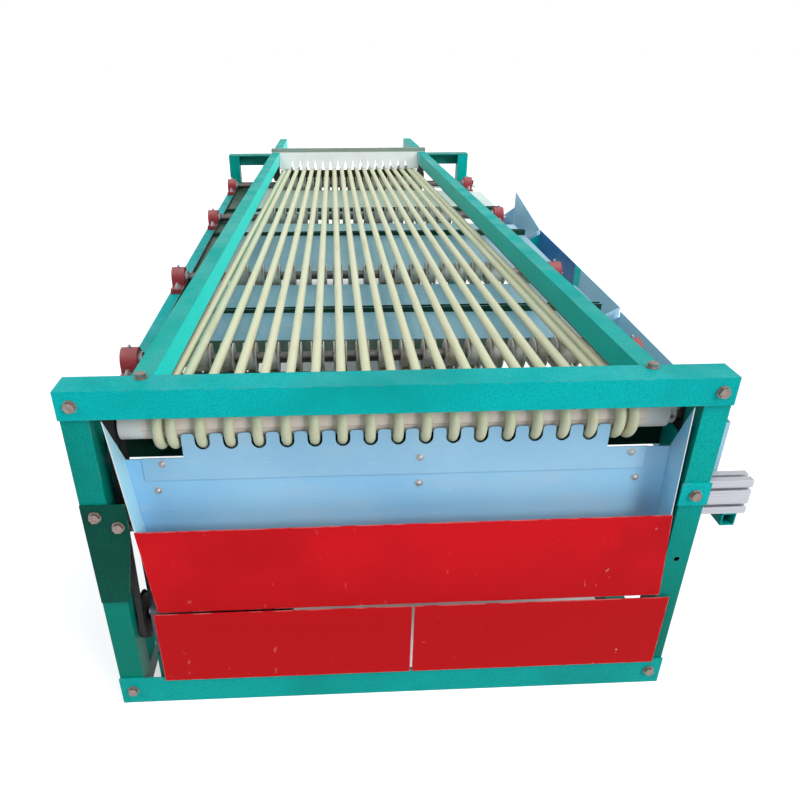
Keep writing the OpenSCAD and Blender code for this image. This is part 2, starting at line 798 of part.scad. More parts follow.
module profile_section() {
    quarter = profile_h / 4;
    difference() {
        square([profile_d, profile_h]);
        for (k = groove_quarters) {
            translate([0, quarter * k]) rotate(-90) profile_groove();
            translate([profile_d, quarter * k]) rotate(90) profile_groove();
            translate([profile_d / 2, quarter * k]) circle(d = groove_open_w * profile_bore_share);
        }
        translate([profile_d / 2, 0]) profile_groove();
        translate([profile_d / 2, profile_h]) rotate(180) profile_groove();
    }
}

module cross_profile() {
    color("lightgray") placed() plate_yz(-half_w, profile_end_x)
        translate([leg_d, profile_low_z]) profile_section();
}

// Square tube under the cross profile and the side troughs
module outrigger_tube() {
    outer_x = half_w + trough_w + outrigger_w * outrigger_share;
    color("seagreen") placed()
        tube([outer_x - outrigger_w, leg_d, profile_low_z - outrigger_w],
             [outer_x, chute_y(chute_end_shares[2]), profile_low_z], 1);
}

// Feed end: white plate sloping down to fingers over the ropes, with a flat strip on its edge
feed_top_y = rear_roller_y - shaft_d + sheet_t * 3;

module feed_plate() {
    feed_l = (frame_h - shaft_z - loop_r - rope_r - seat) / sin(feed_angle);
    tip_y = feed_top_y - feed_l * cos(feed_angle);
    plate_half = rail_x(tip_y) - rail_w / 2 - tube_wall * 2;
    strip_half = rail_x(feed_top_y) + rail_w / 2;
    pitch = rope_pitch(tip_y);
    notch_half = (pitch - rope_d) / 2;
    color("white") placed() {
        translate([0, feed_top_y, frame_h]) rotate([feed_angle, 0, 0]) linear_extrude(sheet_t)
            difference() {
                translate([-plate_half, -feed_l]) square([plate_half * 2, feed_l]);
                for (k = [-rope_pairs:rope_pairs - 1])
                    translate([k * pitch + pitch / 2, -feed_l])
                        polygon([[-notch_half, -over], [notch_half, -over], [notch_half, 0],
                                 [0, feed_l * feed_notch_share], [-notch_half, 0]]);
            }
        span([-strip_half, feed_top_y - sheet_t, frame_h],
             [strip_half, feed_top_y + strip_d, frame_h + sheet_t]);
    }
}

module feed_strip() {
    strip_half = rail_x(feed_top_y) + rail_w / 2;
    z_0 = frame_h + sheet_t;
    color("darkseagreen") placed()
        span([-strip_half, feed_top_y, z_0], [strip_half, feed_top_y + strip_d, z_0 + strip_h]);
}

// Hexagon bolts with washers, drawn with the joint face at Z zero
module bolt() {
    cylinder(d = washer_d, h = washer_t);
    translate([0, 0, washer_t]) cylinder(d = bolt_af / cos(30), h = bolt_head_h, $fn = 6);
}

module frame_bolts() {
    top_z = frame_h - beam_h / 2;
    low_z = bottom_beam_h * low_bolt_share;
    joint_z = leg_plate_z + mid_beam_h / 2;
    guard_z = mid_low_z;
    guard_corner = [chute_left_x(guard_z) - washer_d, guard_z - washer_d];
    color("silver") placed() {
        for (x = [-leg_mid, leg_mid], z = [top_z, low_z])
            translate([x, -beam_t, z]) rotate([90, 0, 0]) bolt();
        for (place = [[leg_mid, joint_z], [-leg_mid, guard_z], guard_corner])
            translate([place[0], -plate_t, place[1]]) rotate([90, 0, 0]) bolt();
        for (side = edge_sides)
            translate([side * rail_front_x, rail_start_y - washer_d / 2, frame_h]) bolt();
    }
}

front_leg(-1);  // front_leg_left
front_leg(1);  // front_leg_right
rear_leg(-1);  // rear_leg_left
rear_leg(1);  // rear_leg_right
front_top_beam();
rear_stubs();
front_bottom_beam();
rear_bottom_beam();
bottom_rail(-1);  // bottom_rail_left
bottom_rail(1);  // bottom_rail_right
side_beam(-1);  // side_beam_left
side_beam(1);  // side_beam_right
mid_beam();
belt_guard();
leg_plate_right();
guard_rail(-1);  // guard_rail_left
guard_rail(1);  // guard_rail_right
cross_shaft(long_shaft_half_l, front_roller_y);  // front_roller_shaft
roller_sleeve(roller_half_l, front_roller_y);  // front_roller_sleeve
roller_collar();
front_bearings();
cross_shaft(rear_shaft_half_l, rear_roller_y);  // rear_roller_shaft
roller_sleeve(rear_sleeve_half_l, rear_roller_y);  // rear_roller_sleeve
rear_hangers();
cross_shaft(long_shaft_half_l, guide_y(0));  // guide_shaft_1
cross_shaft(long_shaft_half_l, guide_y(1));  // guide_shaft_2
cross_shaft(long_shaft_half_l, guide_y(2));  // guide_shaft_3
cross_shaft(long_shaft_half_l, guide_y(3));  // guide_shaft_4
guide_spools(0);  // guide_spools_1
guide_spools(1);  // guide_spools_2
guide_spools(2);  // guide_spools_3
guide_spools(3);  // guide_spools_4
bearing_blocks(-1);  // bearing_blocks_left
bearing_blocks(1);  // bearing_blocks_right
sorting_ropes();
drive_pulley();
drive_belt();
motor_pulley();
gearmotor();
motor_stand();
comb_plate();
chute_back_panel();
chute_wall(wall_left_low_x, wall_left_top_x);  // chute_wall_left
chute_wall(wall_right_low_x, wall_right_top_x);  // chute_wall_right
chute_floor();
upper_apron();
lower_panel(panel_left_x, seam_left_x);  // lower_panel_left
lower_panel(seam_right_x, panel_right_x);  // lower_panel_right
feed_plate();
feed_strip();
grade_chute(0);  // grade_chute_1
grade_chute(1);  // grade_chute_2
grade_chute(2);  // grade_chute_3
grade_chute(3);  // grade_chute_4
side_trough(0);  // side_trough_1
side_trough(1);  // side_trough_2
side_trough(2);  // side_trough_3
cross_profile();
outrigger_tube();
frame_bolts();
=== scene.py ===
"""Looks of the rope fruit grading machine: paint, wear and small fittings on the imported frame."""

import json
import math

import bmesh
import bpy
from mathutils import Matrix, Vector


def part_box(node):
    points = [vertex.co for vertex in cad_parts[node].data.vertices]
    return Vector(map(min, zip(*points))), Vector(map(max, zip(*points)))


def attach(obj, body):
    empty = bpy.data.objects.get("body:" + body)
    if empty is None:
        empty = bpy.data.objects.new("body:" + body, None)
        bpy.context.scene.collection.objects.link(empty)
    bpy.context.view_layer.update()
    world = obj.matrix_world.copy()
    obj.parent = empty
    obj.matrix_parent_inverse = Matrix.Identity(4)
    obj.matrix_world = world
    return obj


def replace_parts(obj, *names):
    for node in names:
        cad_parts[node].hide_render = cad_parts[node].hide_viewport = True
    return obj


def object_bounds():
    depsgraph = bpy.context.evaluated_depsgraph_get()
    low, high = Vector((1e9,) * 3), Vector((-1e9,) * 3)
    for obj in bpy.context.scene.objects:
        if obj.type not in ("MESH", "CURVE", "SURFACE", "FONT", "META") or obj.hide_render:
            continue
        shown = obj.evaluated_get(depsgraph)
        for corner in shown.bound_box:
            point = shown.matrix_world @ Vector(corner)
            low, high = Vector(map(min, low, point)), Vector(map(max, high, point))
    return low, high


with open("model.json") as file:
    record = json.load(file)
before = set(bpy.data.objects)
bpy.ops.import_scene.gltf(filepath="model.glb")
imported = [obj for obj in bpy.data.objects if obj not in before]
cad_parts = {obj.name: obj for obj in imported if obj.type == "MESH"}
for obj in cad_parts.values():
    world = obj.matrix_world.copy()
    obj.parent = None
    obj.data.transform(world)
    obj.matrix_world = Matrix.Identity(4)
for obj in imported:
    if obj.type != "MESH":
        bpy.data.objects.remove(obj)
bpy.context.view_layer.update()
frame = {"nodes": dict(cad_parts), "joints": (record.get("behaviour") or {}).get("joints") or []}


# Frame: legs and rails of square steel tube, beams of steel angle, welded and bolted together.
# Teal hammer paint, pebbled and half glossy, darker towards the floor and on the legs' sides as painted
# shade, dusty on top and rubbed at the edges.
def srgb(red, green, blue):
    """Linear colour of a screen colour given in steps of 255."""
    parts = []
    for step in (red, green, blue):
        share = step / 255
        parts.append(share / 12.92 if share <= 0.04045 else ((share + 0.055) / 1.055) ** 2.4)
    return (*parts, 1.0)


class Wire:
    """One value in a node tree. Sums, products and comparisons of wires become Math nodes."""

    def __init__(self, tree, socket):
        self.tree = tree
        self.socket = socket

    def math(self, operation, *others):
        made = self.tree.nodes.new("ShaderNodeMath")
        made.operation = operation
        for socket, value in zip(made.inputs, (self, *others)):
            plug(socket, value)
        return Wire(self.tree, made.outputs[0])

    def __add__(self, other):
        return self.math("ADD", other)

    def __sub__(self, other):
        return self.math("SUBTRACT", other)

    def __rsub__(self, other):
        return self.math("MULTIPLY_ADD", -1.0, other)

    def __mul__(self, other):
        return self.math("MULTIPLY", other)

    def __gt__(self, other):
        return self.math("GREATER_THAN", other)

    def __lt__(self, other):
        return self.math("LESS_THAN", other)

    def __abs__(self):
        return self.math("ABSOLUTE")

    __radd__ = __add__
    __rmul__ = __mul__


def plug(socket, value):
    """Joins a wire to a socket, or sets the socket to a plain value."""
    if isinstance(value, Wire):
        value.tree.links.new(value.socket, socket)
    else:
        socket.default_value = value


class Nodes:
    """Makes the nodes of one tree."""

    def __init__(self, tree):
        self.tree = tree

    def node(self, kind, settings=None, values=None, output=0):
        made = self.tree.nodes.new(kind)
        for key, value in (settings or {}).items():
            setattr(made, key, value)
        for key, value in (values or {}).items():
            plug(made.inputs[key], value)
        return Wire(self.tree, made.outputs[output])

    def mix(self, share, first, second):
        return self.node("ShaderNodeMix", {"data_type": "RGBA"}, {0: share, 6: first, 7: second}, 2)


class Paint(Nodes):
    """A material on one Principled shader, with patterns hung on Object coordinates."""

    def __init__(self, name, specular=0.5, **uniform):
        self.material = bpy.data.materials.new(name)
        self.material.use_nodes = True
        super().__init__(self.material.node_tree)
        self.shader = self.tree.nodes["Principled BSDF"]
        self.place = self.node("ShaderNodeTexCoord", output="Object")
        self.facing = self.node("ShaderNodeNewGeometry", output="Normal")
        self.give("Specular IOR Level", specular)
        for key, value in uniform.items():
            self.give(key.replace("_", " ").title(), value)

    def give(self, socket, value):
        plug(self.shader.inputs[socket], value)

    def part(self, vector, axis):
        return self.node("ShaderNodeSeparateXYZ", None, {0: vector}, axis)

    def noise(self, scale, detail=2.0, stretch=(1.0, 1.0, 1.0)):
        spot = self.node("ShaderNodeVectorMath", {"operation": "MULTIPLY"}, {0: self.place, 1: stretch})
        return self.node("ShaderNodeTexNoise", None, {"Vector": spot, "Scale": scale, "Detail": detail})

    def cells(self, scale):
        settings = {"feature": "SMOOTH_F1"}
        return self.node("ShaderNodeTexVoronoi", settings, {"Vector": self.place, "Scale": scale})

    def ramp(self, value, low, high):
        """0 below one value, 1 above another, smooth between."""
        settings = {"interpolation_type": "SMOOTHSTEP"}
        return self.node("ShaderNodeMapRange", settings, {0: value, 1: low, 2: high})

    def edge(self, radius):
        """Share of wear along sharp edges, from the normal rounded over a radius."""
        rounded = self.node("ShaderNodeBevel", {"samples": 4}, {"Radius": radius})
        values = {0: rounded, 1: self.facing}
        match = self.node("ShaderNodeVectorMath", {"operation": "DOT_PRODUCT"}, values, "Value")
        return self.ramp(1.0 - match, 0.02, 0.25)

    def bump(self, height, distance, strength=1.0, radius=0.0015):
        """Raises the surface by a pattern and rounds the sharp edges."""
        rounded = self.node("ShaderNodeBevel", {"samples": 4}, {"Radius": radius})
        values = {"Height": height, "Distance": distance, "Strength": strength, "Normal": rounded}
        self.give("Normal", self.node("ShaderNodeBump", None, values))


def coat(paint, *names):
    """Puts a paint on every material slot of the named CAD nodes."""
    for name in names:
        slots = frame["nodes"][name].data.materials
        for k in range(len(slots)):
            slots[k] = paint.material


def hammer_paint(name, light, deep, dust, low=None, grime_top=None):
    """Pebbled paint, rubbed to steel along the edges.

    It turns to another tone towards the floor and on its sides, which is painted light and shade, and has
    brown grime below a height, if these are given.
    """
    paint = Paint(name, specular=0.08)
    tone = paint.mix(paint.ramp(paint.noise(5.0, 4.0), 0.35, 0.8), light, deep)
    pebbles = paint.cells(330.0)
    tone = paint.mix(paint.ramp(pebbles, 0.2, 0.6) * 0.6, tone, deep)
    height = paint.part(paint.place, 2)
    if low is not None:
        # Painted light and shade: low down and on the side faces the paint turns to the given tone.
        side_light_and_shade = abs(paint.part(paint.facing, 0)) > 0.9
        tone = paint.mix(paint.ramp(height, 0.72, 0.1).math("MAXIMUM", side_light_and_shade * 0.8), tone, low)
    upward = paint.ramp(paint.part(paint.facing, 2), 0.5, 0.95)
    dusty = upward * paint.ramp(paint.noise(9.0, 6.0), 0.3, 0.75)
    tone = paint.mix(dusty * 0.2, tone, dust)
    if grime_top is not None:
        tone = paint.mix((height < grime_top) * 0.85, tone, srgb(120, 78, 46))
    wear = paint.edge(0.004) * paint.ramp(paint.noise(22.0, 5.0), 0.5, 0.62)
    paint.give("Base Color", paint.mix(wear * 0.5, tone, srgb(128, 132, 120)))
    paint.give("Roughness", 0.36 + dusty * 0.3 + wear * 0.2)
    paint.bump(pebbles + paint.noise(60.0) * 0.6, 0.0016, 0.45)
    return paint


teal_dust = srgb(44, 160, 152)
top_paint = hammer_paint("top_paint", srgb(0, 194, 196), srgb(0, 160, 156), teal_dust)
coat(top_paint, "front_top_beam", "side_beam_left", "side_beam_right", "mid_beam", "leg_plate_right")
# Painted shade: the bottom beams have a darker copy of the beam paint.
low_beam_shaded_paint = hammer_paint("low_beam_shaded_paint", srgb(0, 172, 166), srgb(0, 142, 134), teal_dust)
coat(low_beam_shaded_paint, "front_bottom_beam", "rear_bottom_beam", "outrigger_tube")
# Painted shade: the legs darken to this tone towards the floor and on their sides; the left legs, rail and
# stand have a darker copy than the right ones.
leg_painted_shade = srgb(0, 120, 103)
right_leg_lit_paint = hammer_paint("right_leg_lit_paint", srgb(0, 184, 180), srgb(0, 150, 142), teal_dust, leg_painted_shade)
coat(right_leg_lit_paint, "front_leg_right", "rear_leg_right", "bottom_rail_right")
left_leg_shaded_paint = hammer_paint("left_leg_shaded_paint", srgb(0, 156, 146), srgb(0, 128, 118), teal_dust, leg_painted_shade)
coat(left_leg_shaded_paint, "front_leg_left", "rear_leg_left", "bottom_rail_left", "motor_stand")

# Rear top stubs: short angles from the rear legs to the guard rails, bolted on.
# The same paint, greyed by dust and rubbing at the feed end.
stub_paint = hammer_paint("stub_paint", srgb(40, 158, 146), srgb(20, 130, 120), srgb(150, 165, 155))
coat(stub_paint, "rear_stubs")

# Belt guard: a flat steel plate bolted over the belt, beside the left leg.
# Dark green paint, flat and grimy.
guard_paint = hammer_paint("guard_paint", srgb(0, 84, 70), srgb(0, 62, 52), srgb(40, 96, 86))
coat(guard_paint, "belt_guard")

# Guard rails: long square tubes that close in on the ropes towards the feed end, bolted to the top beam.
# The left one has bright turquoise sides, a painted highlight; both have a brown line of grime along the
# foot.
grime_h = 0.004
grime_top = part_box("guard_rail_left")[0].z + grime_h
# Painted highlight: the left rail's side faces turn bright turquoise.
left_rail_lit_paint = hammer_paint("left_rail_lit_paint", srgb(24, 184, 174), srgb(12, 164, 154), teal_dust,
                               srgb(0, 255, 250), grime_top)
coat(left_rail_lit_paint, "guard_rail_left")
right_rail_paint = hammer_paint("right_rail_paint", srgb(0, 182, 175), srgb(0, 162, 155), teal_dust,
                                grime_top=grime_top)
coat(right_rail_paint, "guard_rail_right")


# Frame bolts: hexagon heads on round washers at the beams, plates and rail ends.
# Zinc plated steel, a little dull, browned on the frame and with brown spots.
def plated(name, light, dark, rust=0.35):
    paint = Paint(name, metallic=0.85)
    tone = paint.mix(paint.noise(120.0, 3.0), light, dark)
    spots = paint.ramp(paint.noise(300.0, 4.0), 0.58, 0.72)
    paint.give("Base Color", paint.mix(spots * rust, tone, srgb(112, 74, 48)))
    paint.give("Roughness", 0.3 + paint.noise(90.0) * 0.25)
    paint.bump(paint.noise(400.0), 0.0002, 0.5, 0.0006)
    return paint


zinc = plated("zinc", srgb(198, 200, 202), srgb(140, 142, 146))
brown_zinc = plated("brown_zinc", srgb(176, 162, 156), srgb(104, 86, 80), 0.6)
coat(brown_zinc, "frame_bolts")


# Front roller: a plastic lagged sleeve on a steel shaft, carried by two black bearings behind the legs.
# The lagging is off-white with fine lengthwise seams, between plain white end rings.
def lagged(name, light, deep, axis, middle_x, ring_from):
    """Lagging with seams round an axis, and plain rings further than a distance from its middle."""
    paint = Paint(name, specular=0.3)
    height = paint.part(paint.place, 2) - axis.z
    depth = paint.part(paint.place, 1) - axis.y
    slat_count = 7
    slats = height.math("ARCTAN2", depth) * (slat_count / math.tau)
    seam = abs(slats.math("FRACT") - 0.5) < 0.018
    ring = abs(paint.part(paint.place, 0) - middle_x) > ring_from
    tone = paint.mix(paint.noise(30.0, 4.0), light, deep)
    tone = paint.mix(seam * 0.7, tone, srgb(120, 96, 84))
    paint.give("Base Color", paint.mix(ring, tone, srgb(232, 232, 230)))
    paint.give("Roughness", 0.5 + paint.noise(50.0) * 0.2)
    paint.bump(paint.noise(200.0, 3.0) - seam * 0.5, 0.0004, 0.5)
    return paint


joint_at = {joint["name"]: Vector(joint["pos_m"]) for joint in frame["joints"]}
front_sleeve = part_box("front_roller_sleeve")
front_mid_x = (front_sleeve[0].x + front_sleeve[1].x) / 2
end_ring_w = 0.045
ring_from = front_sleeve[1].x - front_mid_x - end_ring_w
front_lagging = lagged("front_lagging", srgb(246, 230, 220), srgb(230, 214, 204),
                       joint_at["front_roller_spin"], front_mid_x, ring_from)
coat(front_lagging, "front_roller_sleeve")

collar_white = Paint("collar_white")
collar_tone = collar_white.mix(collar_white.noise(80.0, 3.0), srgb(215, 214, 208), srgb(180, 178, 170))
collar_white.give("Base Color", collar_tone)
collar_white.give("Roughness", 0.4 + collar_white.noise(60.0) * 0.2)
collar_white.bump(collar_white.noise(220.0), 0.0003, 0.4)
coat(collar_white, "roller_collar")


def black_iron(name, light, dark):
    paint = Paint(name, specular=0.3)
    tone = paint.mix(paint.noise(60.0, 4.0), light, dark)
    upward = paint.ramp(paint.part(paint.facing, 2), 0.3, 0.9)
    paint.give("Base Color", paint.mix(upward * paint.noise(25.0, 4.0) * 0.4, tone, srgb(120, 116, 106)))
    paint.give("Roughness", 0.45 + paint.noise(70.0) * 0.25)
    paint.bump(paint.noise(260.0, 3.0), 0.0006, 0.6, 0.002)
    return paint


black_cast = black_iron("black_cast", srgb(40, 40, 42), srgb(24, 24, 26))
coat(black_cast, "front_bearings", "drive_pulley", "motor_pulley")

# Cross shafts: drawn steel bars that carry both rollers and the four rows of spools.
# Bare, dulled and a little brown.
shaft_steel = plated("shaft_steel", srgb(120, 118, 116), srgb(78, 76, 74), 0.5)
coat(shaft_steel, "front_roller_shaft", "rear_roller_shaft")
guide_names = ("1", "2", "3", "4")
for k in guide_names:
    coat(shaft_steel, "guide_shaft_" + k)

# Rear roller: a lagged sleeve like the front one, under the feed plate, in castings below the guard rails.
# It has no end rings, and its dark olive colour is painted shade for its place under the feed plate.
rear_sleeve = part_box("rear_roller_sleeve")
rear_mid_x = (rear_sleeve[0].x + rear_sleeve[1].x) / 2
# Painted shade: the rear lagging is dark olive.
rear_lagging_shaded = lagged("rear_lagging_shaded", srgb(96, 100, 76), srgb(70, 74, 56),
                      joint_at["rear_roller_spin"], rear_mid_x, rear_sleeve[1].x - rear_mid_x)
coat(rear_lagging_shaded, "rear_roller_sleeve")
hanger_iron = black_iron("hanger_iron", srgb(70, 72, 74), srgb(46, 48, 50))
coat(hanger_iron, "rear_hangers")


# Spools: grooved plastic wheels on the guide shafts that hold the ropes to their spacing.
# Milky white, grey with dust; the row nearest the front has tan grime.
def spool_plastic(name, clean, dirty):
    """Dull plastic with patches of dirt."""
    paint = Paint(name, specular=0.3)
    dirt = paint.ramp(paint.noise(35.0, 5.0), 0.4, 0.75)
    paint.give("Base Color", paint.mix(dirt * 0.6, clean, dirty))
    paint.give("Roughness", 0.42 + dirt * 0.3)
    paint.bump(paint.noise(180.0), 0.0004, 0.4, 0.001)
    return paint


first_row = spool_plastic("first_row", srgb(190, 194, 190), srgb(146, 116, 80))
coat(first_row, "guide_spools_1")
later_rows = spool_plastic("later_rows", srgb(190, 194, 190), srgb(130, 132, 124))
coat(later_rows, "guide_spools_2", "guide_spools_3", "guide_spools_4")

# Pillow bearings: cast iron blocks on the side beams, one at each end of every guide shaft.
# Dusty red paint over a rough casting, bolted through the foot with two bolts.
red_iron = Paint("red_iron", specular=0.2)
red_tone = red_iron.mix(red_iron.noise(40.0, 4.0), srgb(176, 66, 72), srgb(138, 54, 58))
red_dust = red_iron.ramp(red_iron.part(red_iron.facing, 2), 0.2, 0.9) * red_iron.noise(30.0, 5.0)
red_iron.give("Base Color", red_iron.mix(red_dust * 0.8, red_tone, srgb(176, 136, 134)))
red_iron.give("Roughness", 0.5 + red_dust * 0.25)
red_iron.bump(red_iron.noise(240.0, 4.0), 0.0009, 0.7, 0.003)
coat(red_iron, "bearing_blocks_left", "bearing_blocks_right")


def post(mesh, r, height, at, axis, segments=32, r_top=None):
    """Adds a round or six-sided post that stands on a point along an axis."""
    turn = Vector((0, 0, 1)).rotation_difference(axis).to_matrix().to_4x4()
    middle = Matrix.Translation(at + axis * height / 2)
    bmesh.ops.create_cone(mesh, cap_ends=True, segments=segments, radius1=r,
                          radius2=r if r_top is None else r_top, depth=height, matrix=middle @ turn)


def dome(mesh, r, height, at, axis):
    """Adds a round head that bulges out of a face."""
    turn = Vector((0, 0, 1)).rotation_difference(axis).to_matrix().to_4x4()
    flat = Matrix.Diagonal((1, 1, height / r, 1))
    bmesh.ops.create_uvsphere(mesh, u_segments=24, v_segments=12, radius=r,
                              matrix=Matrix.Translation(at) @ turn @ flat)


def piece(name, mesh, paint, body="frame", smooth_deg=35):
    """Makes a mesh into an object with one paint that rides on a body."""
    bmesh.ops.recalc_face_normals(mesh, faces=mesh.faces)
    data = bpy.data.meshes.new(name)
    mesh.to_mesh(data)
    mesh.free()
    data.shade_smooth()
    data.set_sharp_from_angle(angle=math.radians(smooth_deg))
    data.materials.append(paint.material)
    made = bpy.data.objects.new(name, data)
    bpy.context.scene.collection.objects.link(made)
    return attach(made, body)


up_z = Vector((0, 0, 1))
hexagon = 6
foot_bolts = bmesh.new()
nipples = bmesh.new()
block_box = {side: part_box("bearing_blocks_" + side) for side in ("left", "right")}
foot_half = joint_at["guide_1_spin"].y - block_box["left"][0].y
dome_top = block_box["left"][1].z
foot_bolt_share = 0.736
foot_t = 0.015
washer_r = 0.010
washer_t = 0.002
nut_r = 0.0085
nut_h = 0.007
thread_r = 0.005
thread_tip_r = 0.0045
thread_h = 0.006
nipple_sink = 0.001
nipple_hex_r = 0.004
nipple_hex_h = 0.005
nipple_head_r = 0.003
nipple_head_h = 0.004
nipple_head_up = 0.006
for side in block_box:
    block_x = (block_box[side][0].x + block_box[side][1].x) / 2
    foot_top = block_box[side][0].z + foot_t
    for k in guide_names:
        axis_y = joint_at[f"guide_{k}_spin"].y
        for along in (-1, 1):
            spot = Vector((block_x, axis_y + along * foot_half * foot_bolt_share, foot_top))
            post(foot_bolts, washer_r, washer_t, spot, up_z)
            post(foot_bolts, nut_r, nut_h, spot + up_z * washer_t, up_z, hexagon)
            nut_top = spot + up_z * (washer_t + nut_h)
            post(foot_bolts, thread_r, thread_h, nut_top, up_z, 20, thread_tip_r)
        tip = Vector((block_x, axis_y, dome_top - nipple_sink))
        post(nipples, nipple_hex_r, nipple_hex_h, tip, up_z, hexagon)
        dome(nipples, nipple_head_r, nipple_head_h, tip + up_z * nipple_head_up, up_z)
piece("bearing_foot_bolts", foot_bolts, zinc)
piece("grease_nipples", nipples, zinc)

# Bearing rings: the hardened inner rings that grip each guide shaft, with a set screw.
# Ground steel that turns with the shaft on the inner side of every block.
ring_steel = plated("ring_steel", srgb(176, 176, 176), srgb(128, 128, 130), 0.2)
ring_r = 0.019
ring_w = 0.008
set_screw_r = 0.003
set_screw_h = 0.002
set_screw_sink = 0.001
for k in guide_names:
    rings = bmesh.new()
    axis_at = joint_at[f"guide_{k}_spin"]
    for face_x, inward in ((block_box["left"][1].x, 1), (block_box["right"][0].x, -1)):
        spot = Vector((face_x, axis_at.y, axis_at.z))
        post(rings, ring_r, ring_w, spot, Vector((inward, 0, 0)), 40)
        screw_at = spot + Vector((inward * ring_w / 2, 0, ring_r - set_screw_sink))
        post(rings, set_screw_r, set_screw_h, screw_at, up_z, hexagon)
    piece(f"bearing_rings_{k}", rings, ring_steel, f"guide_{k}")

# Sorting ropes: endless round cords of cream polyurethane, stretched over both rollers.
# Smooth and slightly waxy, yellower in patches and grey where fruit and spools rub them.
rope_cream = Paint("rope_cream", specular=0.4, subsurface_weight=0.08, subsurface_scale=0.004)
rope_tone = rope_cream.mix(rope_cream.noise(3.0, 3.0), srgb(228, 231, 200), srgb(217, 217, 178))
rope_rub = rope_cream.ramp(rope_cream.noise(14.0, 5.0, (3.0, 0.4, 3.0)), 0.52, 0.75)
rope_cream.give("Base Color", rope_cream.mix(rope_rub * 0.3, rope_tone, srgb(196, 188, 150)))
rope_cream.give("Roughness", 0.38 + rope_rub * 0.25)
rope_cream.bump(rope_cream.noise(120.0, 3.0), 0.0003, 0.4, 0.0008)
coat(rope_cream, "sorting_ropes")


# Front trough: comb plate, back panel, leaning end walls and floor of bent sheet steel, screwed together.
# Pale blue paint, smudged, with bare white cut edges at the front of the walls. Faces of the comb and back
# panel that look up are dark blue, painted shade; the back panel has a bluer copy, painted light.
def blue_sheet(name, light, deep, faces=(), bands=()):
    """Smudged paint on sheet.

    Faces that look one way along an axis, and all up to a place along an axis, may have other colours.
    """
    paint = Paint(name, specular=0.12)
    tone = paint.mix(paint.ramp(paint.noise(4.0, 5.0), 0.3, 0.7), light, deep)
    smudge = paint.ramp(paint.noise(7.0, 6.0, (1.0, 1.0, 2.5)), 0.5, 0.8)
    tone = paint.mix(smudge * 0.3, tone, srgb(196, 214, 226))
    scratch = paint.ramp(paint.noise(40.0, 3.0, (1.0, 1.0, 12.0)), 0.66, 0.7)
    tone = paint.mix(scratch * 0.3, tone, srgb(222, 232, 240))
    for axis, way, face_tone in faces:
        tone = paint.mix(paint.part(paint.facing, axis) * way > 0.9, tone, face_tone)
    for axis, band_end, band_tone in bands:
        tone = paint.mix(paint.part(paint.place, axis) < band_end, tone, band_tone)
    paint.give("Base Color", tone)
    paint.give("Roughness", 0.34 + smudge * 0.2)
    paint.bump(paint.noise(3.0, 2.0) + paint.noise(160.0) * 0.02, 0.004, 0.3, 0.001)
    return paint


sheet_light = srgb(166, 216, 246)
sheet_deep = srgb(148, 200, 234)
# Painted shade: faces that look up are dark blue.
shaded_tops = [(2, 1, srgb(84, 132, 172))]
comb_blue = blue_sheet("comb_blue", sheet_light, sheet_deep, shaded_tops)
coat(comb_blue, "chute_floor")
# Painted light: the back panel has its own bluer copy of the sheet paint.
panel_blue_lit = blue_sheet("panel_blue_lit", srgb(160, 216, 250), srgb(144, 204, 244), shaded_tops)
coat(panel_blue_lit, "chute_back_panel")


def recut(node):
    """A copy of a node's mesh with whole flat faces, ready to be cut."""
    mesh = bmesh.new()
    mesh.from_mesh(frame["nodes"][node].data)
    bmesh.ops.remove_doubles(mesh, verts=mesh.verts, dist=1e-6)
    bmesh.ops.dissolve_limit(mesh, angle_limit=math.radians(1), verts=mesh.verts, edges=mesh.edges)
    return mesh


comb_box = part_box("comb_plate")
finger_round_r = 0.007
near = 1e-5
comb = recut("comb_plate")
finger_corners = []
for rim in comb.edges:
    start, end = (corner.co for corner in rim.verts)
    at_top = min(start.z, end.z) > comb_box[1].z - near
    if at_top and abs(start.x - end.x) < near:
        finger_corners.append(rim)
bmesh.ops.bevel(comb, geom=finger_corners, offset=finger_round_r, segments=6, profile=0.5, affect="EDGES")
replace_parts(piece("rounded_comb", comb, comb_blue), "comb_plate")

panel_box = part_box("chute_back_panel")
cut_edge = [(1, -1, srgb(232, 236, 236))]
# Painted light and shade: the left wall has a lighter copy of the sheet paint, the right wall a darker one.
left_wall_lit = blue_sheet("left_wall_lit", srgb(194, 242, 252), srgb(180, 230, 247), cut_edge)
right_wall_shaded = blue_sheet("right_wall_shaded", srgb(140, 196, 226), srgb(122, 180, 214), cut_edge)
for side, paint in (("left", left_wall_lit), ("right", right_wall_shaded)):
    wall = recut("chute_wall_" + side)
    low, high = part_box("chute_wall_" + side)
    front_top = Vector((0, low.y, high.z))
    top_edge = Vector((0, high.y, panel_box[1].z)) - front_top
    outward = Vector((1, 0, 0)).cross(top_edge)
    whole = [*wall.verts, *wall.edges, *wall.faces]
    bmesh.ops.bisect_plane(wall, geom=whole, plane_co=front_top, plane_no=outward, clear_outer=True)
    bmesh.ops.holes_fill(wall, edges=wall.edges)
    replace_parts(piece(f"trimmed_wall_{side}", wall, paint), "chute_wall_" + side)

front_y = Vector((0, -1, 0))
screws = bmesh.new()
comb_mid_x = (comb_box[0].x + comb_box[1].x) / 2
comb_screws = ((-0.450, 0.573), (0.043, 0.573), (0.459, 0.573))
panel_screws = ((-0.466, 0.513), (0.043, 0.514), (0.478, 0.514))
screw_washer_r = 0.008
screw_washer_t = 0.0012
screw_head_r = 0.0058
screw_head_h = 0.004
socket_r = 0.0022
socket_h = 0.0006
socket_out = 0.0048
for face_y, places in ((comb_box[0].y, comb_screws), (panel_box[0].y, panel_screws)):
    for across, height in places:
        spot = Vector((comb_mid_x + across, face_y, height))
        post(screws, screw_washer_r, screw_washer_t, spot, front_y)
        dome(screws, screw_head_r, screw_head_h, spot + front_y * screw_washer_t, front_y)
        post(screws, socket_r, socket_h, spot + front_y * socket_out, front_y, hexagon)
piece("comb_screws", screws, zinc)
